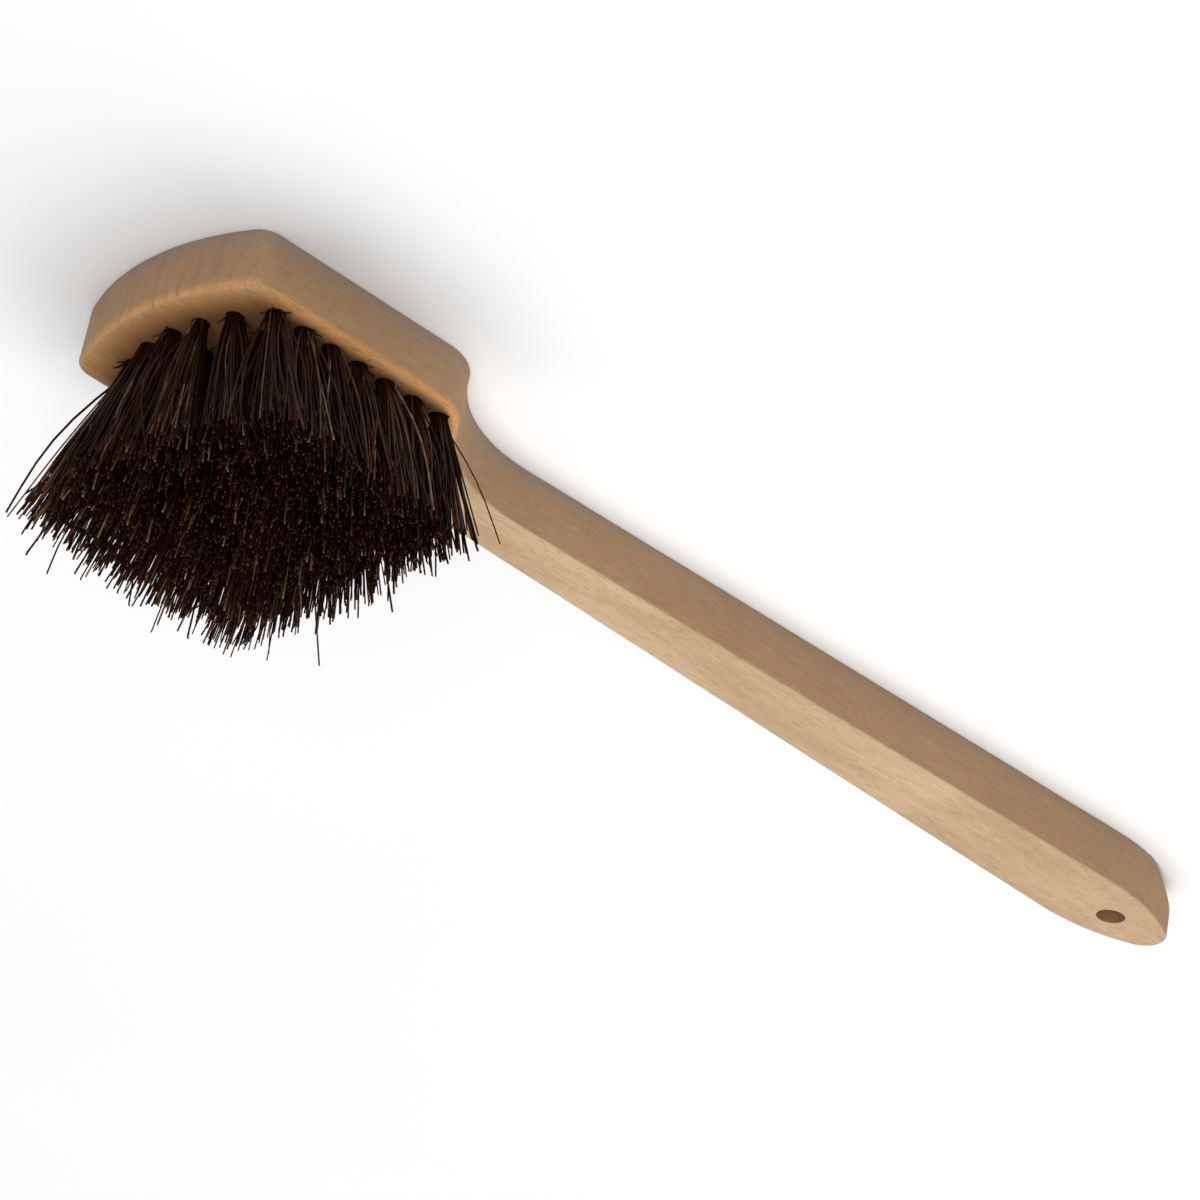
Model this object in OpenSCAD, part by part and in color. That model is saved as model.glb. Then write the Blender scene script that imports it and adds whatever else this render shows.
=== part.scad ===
// Long-handled dry brush: a one-piece hardwood block whose broad head narrows through a
// waisted neck into a flat handle with a hanging hole. Coarse fibre tufts fan out of drilled
// blind holes, and a wire staple driven into the wood at the bottom of each hole holds its tuft.
// The block lies on its flat back on z = 0, with the bristles up. x runs from the head to the
// handle's tip, and the origin is under the middle of the brush's length.

/* [Block] */
// Length over all, from the head's front to the handle's tip
overall_l = 508; // [470:1:560]
// Thickness of the board that the block is cut from
board_t = 22; // [18:0.5:26]

/* [Head] */
// Width of the head between its straight sides
head_w = 97; // [95:0.5:110]
// Radius of the head's bowed front
front_r = 112; // [100:1:160]
// Radius that rounds the head's two front corners
corner_r = 8; // [5:0.5:12]
// Distance from the head's front to where its sides begin to turn in
side_l = 91; // [88:1:100]
// Radius of the shoulders, where the sides turn in
shoulder_r = 20; // [14:1:26]

/* [Handle] */
// Radius of the hollow curve from a shoulder into the neck
neck_r = 60; // [45:1:75]
// Narrowest width, at the neck
neck_w = 23; // [20:0.5:30]
// Angle by which each edge of the handle spreads towards its end
flare_deg = 1.45; // [1:0.05:1.8]
// Radius of the long curves that close the handle's end
end_side_r = 80; // [60:1:110]
// Radius of the handle's rounded tip
tip_r = 10; // [8:0.5:14]
// Distance from the handle's tip to the centre of the hanging hole
hang_from_tip = 27; // [24:0.5:34]
// Diameter of the hanging hole
hang_d = 11; // [8:0.5:12]

/* [Bristles] */
// Number of tuft rows along the head
rows_along = 7; // [5:1:7]
// Number of tufts across the head
tufts_across = 7; // [5:2:7]
// Spacing of the tufts across the head
pitch_y = 13.5; // [12:0.1:14]
// Distance of the first row from the head's front, on the centre line
first_row_x = 15; // [13:0.5:16]
// How much more the first row is bowed than the head's front
row_bow = 1.5; // [0.5:0.1:1.6]
// Distance of the last row, which is straight, from the head's front
last_row_x = 98; // [92:0.5:99]
// How far the tufts stand above the face of the block
trim_h = 50; // [35:1:60]
// Diameter of a tuft hole
hole_d = 6.4; // [5:0.1:6.8]
// Depth of a tuft hole along its slant
hole_deep = 14; // [11:0.5:15]
// Radius of a tuft at its trimmed tip
tip_spread_r = 6.6; // [4:0.1:7]
// Slant of the front row towards the front
lean_front = 8; // [4:0.5:10]
// Slant of the rear row towards the handle
lean_rear = 12; // [6:0.5:14]
// Slant of the outermost tufts towards their side
lean_side = 20; // [12:0.5:22]

/* [Staples] */
// Diameter of the staple wire
wire_d = 0.9; // [0.7:0.05:1.1]
// Distance between the centre lines of a staple's legs
staple_w = 3.8; // [3:0.1:4]
// Height of a staple's crown above the bottom of its hole
crown_h = 1.6; // [1.2:0.1:2.4]
// How far the legs are driven into the wood below the hole
leg_deep = 4; // [3:0.5:5]

/* [Hidden] */
$fn = 96;
clear = 0.1; // gap between a tuft's root and its hole, and round a staple's wire
over = 1; // how far a cutter runs past the face that it opens
kink = 0.02; // how far a straight edge or arc runs into the next one, so that they cross cleanly
lap = 5; // how far the long curves of the handle's end start inside its straight edges
collar_h = 1.6; // straight stretch of a tuft above its hole's mouth, before it spreads

half_w = head_w / 2;
half_hole = hole_d / 2;
root_r = half_hole - clear;

// Corner rounding: the centre of the round, and where it meets the bowed front.
corner_y = half_w - corner_r;
corner_x = front_r - sqrt(pow(front_r - corner_r, 2) - pow(corner_y, 2));
front_touch = [front_r, 0] + ([corner_x, corner_y] - [front_r, 0]) * front_r / (front_r - corner_r);

// Shoulder and neck: two arcs that touch, the neck's arc lowest where the handle is narrowest.
neck_cy = neck_w / 2 + neck_r;
shoulder_c = [side_l, half_w - shoulder_r];
neck_c = [side_l + sqrt(pow(shoulder_r + neck_r, 2) - pow(neck_cy - shoulder_c.y, 2)), neck_cy];
arcs_touch = shoulder_c + (neck_c - shoulder_c) * shoulder_r / (shoulder_r + neck_r);

// Handle: the straight edge leaves the neck's arc and meets a long curve that touches the tip.
flare_start = neck_c + neck_r * [sin(flare_deg), -cos(flare_deg)];
tip_c = [overall_l - tip_r - kink, 0];
slope = tan(flare_deg);
drop = flare_start.y + (tip_c.x - flare_start.x) * slope - end_side_r / cos(flare_deg);
reach = end_side_r - tip_r;
step_back = (-drop * slope - sqrt(pow(reach, 2) * (1 + pow(slope, 2)) - pow(drop, 2)))
    / (1 + pow(slope, 2));
end_c = tip_c + [step_back, drop + step_back * slope];
flare_end = end_c + end_side_r * [-sin(flare_deg), cos(flare_deg)];
tip_touch = tip_c + (tip_c - end_c) * tip_r / reach;

// Tuft layout. The first row is bowed like the head's front, and the rows straighten from one
// to the next up to the last, before the neck.
mid_row = (tufts_across - 1) / 2;
function across(j) = (j - mid_row) * pitch_y;
function bow(y) = front_r - sqrt(pow(front_r, 2) - pow(y, 2));
function row_share(i) = i / (rows_along - 1);
function front_root_x(j) = first_row_x + row_bow * bow(across(j));
function root_x(i, j) = front_root_x(j) + (last_row_x - front_root_x(j)) * row_share(i);
function lean_x(i) = -lean_front + (lean_front + lean_rear) * row_share(i);
function lean_y(j) = lean_side * (j - mid_row) / mid_row;
function tuft_name(i, j) = str("tuft_", i + 1, "_", j + 1);

ROWS = [0 : rows_along - 1];
COLUMNS = [0 : tufts_across - 1];
TUFTS = [for (i = ROWS) for (j = COLUMNS) tuft_name(i, j)];

// Moves the drawing so that the origin is under the middle of the brush's length.
module centred() {
    translate([-overall_l / 2, 0, 0]) children();
}

// Puts a child, drawn along +z from the mouth of a tuft hole, where hole i, j slants to.
module at_hole(i, j) {
    translate([root_x(i, j), across(j), board_t])
        rotate([0, lean_x(i), 0])
            rotate([-lean_y(j), 0, 0])
                children();
}

// A polygon with mirror symmetry about the x axis, from its corners on the side y >= 0.
module mirrored_polygon(corners) {
    last = len(corners) - 1;
    polygon(concat([for (c = corners) [c.x, -c.y]], [for (k = [0 : last]) corners[last - k]]));
}

// Two circles that mirror each other about the x axis.
module circle_pair(centre, radius) {
    for (side = [-1, 1])
        translate([centre.x, side * centre.y]) circle(r = radius, $fn = 240);
}

module head_plan() {
    intersection() {
        translate([front_r, 0]) circle(r = front_r, $fn = 240);
        mirrored_polygon([
            [-over, front_touch.y], front_touch, [corner_x, half_w], [side_l, half_w], arcs_touch
        ]);
    }
    circle_pair([corner_x, corner_y], corner_r);
    circle_pair(shoulder_c, shoulder_r);
}

module neck_plan() {
    difference() {
        mirrored_polygon([[side_l, arcs_touch.y], [neck_c.x, arcs_touch.y], flare_start]);
        circle_pair(neck_c, neck_r);
    }
}

module handle_plan() {
    mirrored_polygon([
        [neck_c.x - neck_r / 2, neck_w / 4], flare_start + [0, kink], flare_end - [0, kink],
        [tip_touch.x - over, tip_touch.y / 2]
    ]);
    intersection() {
        translate(end_c) circle(r = end_side_r, $fn = 240);
        translate([end_c.x, -end_c.y]) circle(r = end_side_r, $fn = 240);
        translate([flare_end.x - lap, -half_w]) square([tip_touch.x - flare_end.x + lap, head_w]);
    }
    translate(tip_c) circle(r = tip_r + kink);
}

// The wire of one staple, its crown across the hole and its legs down into the wood.
// spare thickens it, to cut the room that it needs.
module staple(spare = 0) {
    wire_r = wire_d / 2 + spare;
    crown_z = -hole_deep + crown_h;
    translate([0, 0, crown_z])
        rotate([90, 0, 0])
            cylinder(h = staple_w, r = wire_r, center = true, $fn = 24);
    for (side = [-1, 1])
        translate([0, side * staple_w / 2, 0]) {
            translate([0, 0, crown_z]) sphere(r = wire_r, $fn = 24);
            translate([0, 0, -hole_deep - leg_deep])
                cylinder(h = leg_deep + crown_h, r = wire_r, $fn = 24);
        }
}

// The board cut to the block's outline, drilled for the tufts, their staples and hanging.
module handle_block() {
    color("#cdb08c") centred()
        difference() {
            linear_extrude(board_t) {
                head_plan();
                neck_plan();
                handle_plan();
            }
            translate([overall_l - hang_from_tip, 0, -over])
                cylinder(h = board_t + 2 * over, d = hang_d);
            for (i = ROWS, j = COLUMNS)
                at_hole(i, j)
                    translate([0, 0, -hole_deep]) cylinder(h = hole_deep + 2 * over, r = half_hole);
            for (i = ROWS, j = COLUMNS, side = [-1, 1])
                at_hole(i, j)
                    translate([0, side * staple_w / 2, -hole_deep - leg_deep])
                        cylinder(h = leg_deep + over, d = wire_d, $fn = 24);
        }
}

// Every staple, one solid to each tuft hole.
module anchor_staples() {
    color("silver") centred()
        for (i = ROWS, j = COLUMNS)
            at_hole(i, j) staple();
}

// The outer form of one tuft: a root that fills the hole, then a bundle that spreads to its
// flat-trimmed tip. The root leaves room for the staple that holds it.
module tuft(i, j) {
    slant_l = trim_h / (cos(lean_x(i)) * cos(lean_y(j)));
    long_l = slant_l + tip_spread_r;
    color("#2b1a12") centred()
        intersection() {
            at_hole(i, j)
                difference() {
                    union() {
                        translate([0, 0, -hole_deep]) cylinder(h = hole_deep + collar_h, r = root_r);
                        translate([0, 0, collar_h])
                            cylinder(h = long_l - collar_h, r1 = root_r, r2 = tip_spread_r);
                    }
                    staple(spare = clear);
                }
            translate([0, -head_w, 0]) cube([overall_l, 2 * head_w, board_t + trim_h]);
        }
}

handle_block();
anchor_staples();
for (i = ROWS, j = COLUMNS)
    tuft(i, j);
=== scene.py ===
"""Visual model of a long-handled dry brush.

One hardwood block, cut and drilled from a board, carries slanted tufts of coarse dark fibre,
each held in its hole by a wire staple. The block lies on its flat back with the bristles up.
Sizes are in millimetres in the brush's own plan, whose x runs from the front of the head to the
tip of the handle; to_frame() carries them into the shared frame, in metres.
"""

import logging
import math
from dataclasses import dataclass, field
from enum import Enum

import bpy
import numpy as np
from mathutils import Matrix, Vector, noise
from mathutils.geometry import delaunay_2d_cdt


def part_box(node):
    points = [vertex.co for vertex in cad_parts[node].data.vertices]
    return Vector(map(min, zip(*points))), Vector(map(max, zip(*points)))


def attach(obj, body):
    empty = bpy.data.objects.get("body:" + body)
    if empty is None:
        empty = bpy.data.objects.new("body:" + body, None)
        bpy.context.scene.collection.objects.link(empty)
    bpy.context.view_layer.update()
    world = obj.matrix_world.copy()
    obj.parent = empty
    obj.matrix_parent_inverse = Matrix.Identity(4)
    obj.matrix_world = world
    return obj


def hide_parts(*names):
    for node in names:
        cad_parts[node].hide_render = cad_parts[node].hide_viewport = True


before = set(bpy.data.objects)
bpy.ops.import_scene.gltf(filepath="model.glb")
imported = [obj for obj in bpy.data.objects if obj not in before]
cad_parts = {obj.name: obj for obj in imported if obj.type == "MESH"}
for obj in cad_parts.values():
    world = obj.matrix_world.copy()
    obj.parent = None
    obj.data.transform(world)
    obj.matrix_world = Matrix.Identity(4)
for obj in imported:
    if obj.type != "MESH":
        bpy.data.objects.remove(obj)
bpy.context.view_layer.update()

log = logging.getLogger("dry_brush")

MM = 0.001
BODY = "root"
HEAD_FRONT_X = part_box("handle_block")[0][0]

Colour = tuple[float, float, float]
Point2 = tuple[float, float]


def to_frame(points: np.ndarray) -> np.ndarray:
    """Carry points of the brush's plan into the shared frame.

    Args:
        points: An array of x, y, z rows in millimetres.

    Returns:
        The same points in metres, with x counted from the middle of the brush.
    """
    return points * MM + np.array([HEAD_FRONT_X, 0.0, 0.0])


def smoothstep(low: float, high: float, value: np.ndarray | float) -> np.ndarray | float:
    """Ease a value in between two bounds.

    Args:
        low: The value at and below which the result is 0.
        high: The value at and above which the result is 1.
        value: The value, or an array of them.

    Returns:
        The eased share, from 0 to 1.
    """
    t = np.clip((value - low) / (high - low), 0.0, 1.0)
    return t * t * (3.0 - 2.0 * t)


def unit(v: np.ndarray) -> np.ndarray:
    """Return the vectors in the last axis of v at length 1."""
    return v / np.linalg.norm(v, axis=-1, keepdims=True)


# ---------------------------------------------------------------- shader building blocks


class Effect(Enum):
    """The shader node groups that several finishes share."""

    STREAKS = "drawn_out_streaks"
    MOTTLE = "soft_mottle"


class NodePad:
    """A node tree with short calls to add and join nodes."""

    def __init__(self, tree: bpy.types.NodeTree) -> None:
        """Start on a tree.

        Args:
            tree: The node tree of a material or of a node group.
        """
        self.tree = tree

    def add(self, kind: str, **settings: object) -> bpy.types.Node:
        """Add a node.

        Args:
            kind: The node's type, such as "ShaderNodeMath".
            settings: Properties to set on it.

        Returns:
            The new node.
        """
        node = self.tree.nodes.new(kind)
        for name, value in settings.items():
            setattr(node, name, value)
        return node

    def join(self, source: bpy.types.NodeSocket, target: bpy.types.NodeSocket) -> None:
        """Link an output socket to an input socket."""
        self.tree.links.new(source, target)

    def feed(self, target: bpy.types.NodeSocket, value: object) -> None:
        """Give an input its value.

        Args:
            target: The input socket.
            value: A number or colour to set, or an output socket to link.
        """
        if isinstance(value, bpy.types.NodeSocket):
            self.join(value, target)
        else:
            target.default_value = value

    def math(
        self, operation: str, a: object, b: object = 0.0, clamp: bool = False
    ) -> bpy.types.NodeSocket:
        """Add a Math node.

        Args:
            operation: What it does, such as "MULTIPLY".
            a: Its first number or socket.
            b: Its second number or socket.
            clamp: Whether to keep the result from 0 to 1.

        Returns:
            The node's output.
        """
        node = self.add("ShaderNodeMath", operation=operation, use_clamp=clamp)
        self.feed(node.inputs[0], a)
        self.feed(node.inputs[1], b)
        return node.outputs[0]

    def times(self, a: object, b: object, clamp: bool = False) -> bpy.types.NodeSocket:
        """Return the product of two numbers or sockets, kept from 0 to 1 if clamp is set."""
        return self.math("MULTIPLY", a, b, clamp)

    def plus(self, a: object, b: object, clamp: bool = False) -> bpy.types.NodeSocket:
        """Return the sum of two numbers or sockets, kept from 0 to 1 if clamp is set."""
        return self.math("ADD", a, b, clamp)

    def rescale(self, value: object, low: float, high: float) -> bpy.types.NodeSocket:
        """Ease a value from one bound to another.

        Args:
            value: The socket to read.
            low: Where the result is 0.
            high: Where the result is 1, which may be less than low.

        Returns:
            The eased share, from 0 to 1.
        """
        node = self.add("ShaderNodeMapRange", interpolation_type="SMOOTHSTEP")
        self.feed(node.inputs["Value"], value)
        node.inputs["From Min"].default_value = low
        node.inputs["From Max"].default_value = high
        return node.outputs["Result"]

    def blend(self, mask: object, a: object, b: object) -> bpy.types.NodeSocket:
        """Mix two colours.

        Args:
            mask: How much of the second colour to show, from 0 to 1.
            a: The first colour, or a socket.
            b: The second colour, or a socket.

        Returns:
            The mixed colour.
        """
        node = self.add("ShaderNodeMix", data_type="RGBA", blend_type="MIX")
        self.feed(node.inputs["Factor"], mask)
        for name, value in (("A", a), ("B", b)):
            socket = next(s for s in node.inputs if s.name == name and s.type == "RGBA")
            self.feed(socket, (*value, 1.0) if isinstance(value, tuple) else value)
        return next(s for s in node.outputs if s.type == "RGBA")

    def effect(self, group: bpy.types.NodeTree, **values: object) -> bpy.types.Node:
        """Place a shared node group.

        Args:
            group: The group.
            values: Its inputs, by name in lower case with _ for a space.

        Returns:
            The group's node.
        """
        node = self.add("ShaderNodeGroup", node_tree=group)
        for name, value in values.items():
            self.feed(node.inputs[name.replace("_", " ").capitalize()], value)
        return node

    def stretched(self, vector: bpy.types.NodeSocket, scale: object) -> bpy.types.NodeSocket:
        """Scale a vector.

        Args:
            vector: The vector.
            scale: The factor along each axis, as numbers or as a socket.

        Returns:
            The scaled vector.
        """
        node = self.add("ShaderNodeVectorMath", operation="MULTIPLY")
        self.join(vector, node.inputs[0])
        self.feed(node.inputs[1], scale)
        return node.outputs[0]

    def split(self, vector: bpy.types.NodeSocket) -> bpy.types.NodeOutputs:
        """Split a vector into its coordinates.

        Args:
            vector: The vector.

        Returns:
            The sockets X, Y and Z.
        """
        node = self.add("ShaderNodeSeparateXYZ")
        self.join(vector, node.inputs[0])
        return node.outputs

    def texture(
        self, kind: str, vector: bpy.types.NodeSocket, **values: object
    ) -> bpy.types.NodeOutputs:
        """Add a texture node.

        Args:
            kind: The kind of texture, such as "Noise".
            vector: The point to read it at.
            values: Its other inputs, by name in lower case.

        Returns:
            The node's outputs.
        """
        node = self.add(f"ShaderNodeTex{kind}")
        self.join(vector, node.inputs["Vector"])
        for name, value in values.items():
            self.feed(node.inputs[name.capitalize()], value)
        return node.outputs


def new_group(
    name: str, floats_in: dict[str, float], floats_out: list[str]
) -> tuple[NodePad, dict, dict]:
    """Start a node group that takes a vector and numbers and puts out masks.

    Args:
        name: The group's name.
        floats_in: Each number input's name and default.
        floats_out: The names of the outputs.

    Returns:
        The pad to build on, the group's input sockets and its output sockets, by name.
    """
    tree = bpy.data.node_groups.new(name, "ShaderNodeTree")
    tree.interface.new_socket("Vector", in_out="INPUT", socket_type="NodeSocketVector")
    for label, default in floats_in.items():
        socket = tree.interface.new_socket(label, in_out="INPUT", socket_type="NodeSocketFloat")
        socket.default_value = default
    for label in floats_out:
        tree.interface.new_socket(label, in_out="OUTPUT", socket_type="NodeSocketFloat")
    pad = NodePad(tree)
    start, end = pad.add("NodeGroupInput"), pad.add("NodeGroupOutput")
    return pad, {s.name: s for s in start.outputs}, {s.name: s for s in end.inputs}


def streaks_group() -> bpy.types.NodeTree:
    """Build the group for fine lines drawn out along x, as in wood fibre or drawn wire.

    Returns:
        The group. Its Lines output is a soft streak from 0 to 1, and Flecks picks out the few
        short dark dashes among them.
    """
    pad, taken, given = new_group(
        Effect.STREAKS.value,
        {"Fineness": 600.0, "Drawn out": 20.0, "Wander": 0.3, "Fleck share": 0.3},
        ["Lines", "Flecks"],
    )
    lengthwise = pad.math("DIVIDE", taken["Fineness"], taken["Drawn out"])
    scale = pad.add("ShaderNodeCombineXYZ")
    pad.join(lengthwise, scale.inputs[0])
    for axis in (1, 2):
        pad.join(taken["Fineness"], scale.inputs[axis])
    drawn = pad.stretched(taken["Vector"], scale.outputs[0])
    wander = taken["Wander"]
    lines = pad.texture("Noise", drawn, scale=1.0, detail=4.0, roughness=0.62, distortion=wander)
    pad.join(pad.rescale(lines[0], 0.28, 0.72), given["Lines"])
    dashes = pad.texture("Noise", drawn, scale=1.7, detail=1.0)
    rarest, steepness = 0.75, 14.0
    threshold = pad.math("SUBTRACT", rarest, pad.times(taken["Fleck share"], 0.25))
    over = pad.math("SUBTRACT", dashes[0], threshold)
    pad.join(pad.times(over, steepness, clamp=True), given["Flecks"])
    return pad.tree


def mottle_group() -> bpy.types.NodeTree:
    """Build the group for slow, soft changes of tone over a surface.

    Returns:
        The group. Its Mask output runs from 0 to 1, with Contrast 1 giving the full range.
    """
    pad, taken, given = new_group(
        Effect.MOTTLE.value, {"Size": 20.0, "Contrast": 1.0, "Warp": 0.4}, ["Mask"]
    )
    size, warp = taken["Size"], taken["Warp"]
    cloud = pad.texture("Noise", taken["Vector"], scale=size, distortion=warp, detail=3.0)
    spread = pad.rescale(cloud[0], 0.3, 0.7)
    centred = pad.times(pad.math("SUBTRACT", spread, 0.5), taken["Contrast"])
    pad.join(pad.plus(centred, 0.5, clamp=True), given["Mask"])
    return pad.tree


class Finish:
    """A material under construction: a Principled shader and the shared effects."""

    def __init__(self, name: str, effects: dict[Effect, bpy.types.NodeTree]) -> None:
        """Make an empty material.

        Args:
            name: The material's name.
            effects: The shared node groups.
        """
        self.material = bpy.data.materials.new(name)
        self.material.use_nodes = True
        self.material.node_tree.nodes.clear()
        self.effects = effects
        self.pad = NodePad(self.material.node_tree)
        self.shader = self.pad.add("ShaderNodeBsdfPrincipled")
        output = self.pad.add("ShaderNodeOutputMaterial")
        self.pad.join(self.shader.outputs[0], output.inputs["Surface"])
        self.place = self.pad.add("ShaderNodeTexCoord").outputs["Object"]

    def attribute(self, name: str) -> bpy.types.NodeSocket:
        """Return the value of a mesh attribute."""
        return self.pad.add("ShaderNodeAttribute", attribute_name=name).outputs["Fac"]

    def dress(self, values: dict[str, object]) -> None:
        """Give the shader's inputs their values, by name."""
        for name, value in values.items():
            self.pad.feed(self.shader.inputs[name], value)

    def bump(self, height: bpy.types.NodeSocket, depth: float) -> None:
        """Feed the shader's normal from a height map.

        Args:
            height: The height, from 0 to 1.
            depth: The real depth of height 1, in metres.
        """
        node = self.pad.add("ShaderNodeBump")
        node.inputs["Strength"].default_value = 1.0
        node.inputs["Distance"].default_value = depth
        self.pad.join(height, node.inputs["Height"])
        self.pad.join(node.outputs[0], self.shader.inputs["Normal"])


@dataclass(frozen=True)
class WoodFinish:
    """Bare pale hardwood, straight-grained, sanded and left unfinished."""

    pale: Colour = (0.610, 0.444, 0.265)
    tan: Colour = (0.500, 0.340, 0.188)
    rosy: Colour = (0.500, 0.318, 0.185)
    # painted shade for the upright walls, darker than the flat faces
    painted_wall_shade: Colour = (0.395, 0.220, 0.104)
    # painted light bounced from the white floor, greying the walls low down by the back face
    floor_bounce_grey: Colour = (0.330, 0.255, 0.195)
    glint: Colour = (0.720, 0.560, 0.360)
    line: Colour = (0.330, 0.165, 0.080)
    fleck: Colour = (0.270, 0.160, 0.080)
    # painted warm light bounced off the bristles onto the face round them
    painted_bounce_tint: Colour = (0.840, 0.385, 0.120)
    # painted shade among the tufts and in and round their holes
    painted_shade: Colour = (0.160, 0.066, 0.024)
    roughness: float = 0.62
    roughness_range: float = 0.14
    specular: float = 0.35
    blush_share: float = 0.52
    wall_shade_share: float = 0.80
    line_share: float = 0.24
    fleck_share: float = 0.34
    glint_share: float = 0.28
    glint_loss_on_walls: float = 0.16
    ring_share: float = 0.07
    ring_gain_on_ends: float = 0.38
    among_shade_share: float = 0.92
    painted_shade_share: float = 0.9
    floor_bounce_share: float = 0.35
    grain_depth: float = 0.04 * MM
    ring_spacing: float = 6.4 * MM
    ring_tilt: float = 0.16
    ring_wander: float = 18.0 * MM
    floor_bounce_depth: float = 13.0 * MM
    first_row: float = HEAD_FRONT_X + 15.0 * MM
    last_row: float = HEAD_FRONT_X + 98.0 * MM
    first_row_bow: float = 6.7
    side_row: float = 40.5 * MM
    painted_bounce_reach: float = 32.0 * MM

    def build(self, effects: dict[Effect, bpy.types.NodeTree]) -> bpy.types.Material:
        """Build the wood.

        Args:
            effects: The shared node groups.

        Returns:
            The material.
        """
        made = Finish("bare_hardwood", effects)
        pad, streaks, mottle = made.pad, effects[Effect.STREAKS], effects[Effect.MOTTLE]
        slow = pad.stretched(made.place, (0.25, 1.0, 1.0))
        tone = pad.effect(mottle, vector=slow, size=48.0, contrast=1.2).outputs[0]
        blush = pad.effect(mottle, vector=slow, size=19.0, contrast=1.1).outputs[0]
        fibre = pad.effect(streaks, vector=made.place, fineness=1000.0, drawn_out=22.0).outputs["Lines"]
        pores = pad.effect(streaks, vector=made.place, fineness=820.0, drawn_out=7.0, fleck_share=0.62)
        glints = pad.effect(streaks, vector=slow, fineness=620.0, drawn_out=2.4, fleck_share=0.55)
        axes = pad.split(made.place)
        facing = pad.split(pad.add("ShaderNodeTexCoord").outputs["Normal"])
        upright = pad.rescale(pad.math("ABSOLUTE", facing["Z"]), 0.8, 0.2)
        glint_lost = pad.times(upright, self.glint_loss_on_walls)
        glint_shown = pad.math("SUBTRACT", self.glint_share, glint_lost)
        # Greyer low on the walls, by the back face: painted light bounced from the white floor.
        low = pad.rescale(axes["Z"], self.floor_bounce_depth, 0.0)
        worn = pad.plus(self.floor_bounce_share, pad.times(blush, 0.5))
        bounce_mask, among = self._bounce_and_shade_masks(pad, axes)
        among = pad.times(among, self.among_shade_share)
        shade_mask = pad.math("MAXIMUM", among, made.attribute("hole_shade"))

        colour = self.pale
        for mask, tint in (
            (tone, self.tan),
            (pad.times(blush, self.blush_share), self.rosy),
            # Darker upright walls: painted shade.
            (pad.times(upright, self.wall_shade_share), self.painted_wall_shade),
            # Orange round the bristles: painted warm light bounced off the fibres.
            (bounce_mask, self.painted_bounce_tint),
            (self._growth_lines(made, facing), self.line),
            (pad.times(fibre, self.line_share), self.line),
            (pad.times(glints.outputs["Flecks"], glint_shown), self.glint),
            (pad.times(pores.outputs["Flecks"], self.fleck_share), self.fleck),
            # Grey low on the walls: painted floor bounce light.
            (pad.times(low, worn), self.floor_bounce_grey),
            (self._knots(made), self.fleck),
            # Darker among the tufts and in and round their holes: painted shade under the bristles.
            (pad.times(shade_mask, self.painted_shade_share), self.painted_shade),
        ):
            colour = pad.blend(mask, colour, tint)
        rough = pad.plus(self.roughness, pad.times(fibre, self.roughness_range))
        made.dress({"Base Color": colour, "Roughness": rough, "Specular IOR Level": self.specular})
        made.bump(pad.math("SUBTRACT", fibre, pores.outputs["Flecks"]), self.grain_depth)
        return made.material

    def _growth_lines(self, made: Finish, facing: bpy.types.NodeOutputs) -> bpy.types.NodeSocket:
        """Mask the thin late-wood lines, which stand nearly upright in the board.

        Args:
            made: The material.
            facing: The x, y and z of the way that the surface faces.

        Returns:
            The mask, stronger where the wood is cut across its grain.
        """
        pad, place = made.pad, made.place
        slow = pad.stretched(place, (5.0, 30.0, 22.0))
        wander = pad.texture("Noise", slow, scale=1.0, detail=2.0)[0]
        axes = pad.split(place)
        across = pad.plus(axes["Y"], pad.times(axes["Z"], self.ring_tilt))
        across = pad.plus(across, pad.times(wander, self.ring_wander))
        phase = pad.math("FRACT", pad.math("DIVIDE", across, self.ring_spacing))
        rise, fall = pad.rescale(phase, 0.45, 0.9), pad.rescale(phase, 1.0, 0.9)
        lines = pad.times(rise, fall)

        mottle = made.effects[Effect.MOTTLE]
        patches = pad.effect(mottle, vector=place, size=60.0, contrast=1.6).outputs[0]
        on_ends = pad.rescale(pad.math("ABSOLUTE", facing["X"]), 0.25, 0.9)
        shown = pad.times(on_ends, self.ring_gain_on_ends)
        shown = pad.plus(shown, self.ring_share)
        shown = pad.times(shown, pad.plus(patches, 0.25))
        return pad.times(lines, shown)

    def _bounce_and_shade_masks(
        self, pad: NodePad, axes: bpy.types.NodeOutputs
    ) -> tuple[bpy.types.NodeSocket, bpy.types.NodeSocket]:
        """Mask the face round the bristles, painted warm with light bounced off them, and the face
        among them, painted in shade.

        Args:
            pad: The material's nodes.
            axes: The point's x, y and z.

        Returns:
            The mask of painted bounce light round the bristles and the mask of painted shade among
            them.
        """
        off_middle = pad.math("ABSOLUTE", axes["Y"])
        squared = pad.math("POWER", off_middle, 2.0)
        front = pad.plus(pad.times(squared, self.first_row_bow), self.first_row)
        before = pad.math("SUBTRACT", front, axes["X"])
        after = pad.math("SUBTRACT", axes["X"], self.last_row)
        ahead = pad.math("MAXIMUM", pad.math("MAXIMUM", before, after), 0.0)
        beside = pad.math("MAXIMUM", pad.math("SUBTRACT", off_middle, self.side_row), 0.0)
        squares = (pad.math("POWER", way, 2.0) for way in (ahead, beside))
        gap = pad.math("SQRT", pad.plus(*squares))
        near = pad.rescale(gap, self.painted_bounce_reach, 0.0)
        # Painted shade on the face among the tufts.
        among = pad.rescale(gap, 3.2 * MM, 0.0)
        high = pad.rescale(axes["Z"], 17.5 * MM, 21.0 * MM)
        return pad.times(near, high), pad.times(among, high)

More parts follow.
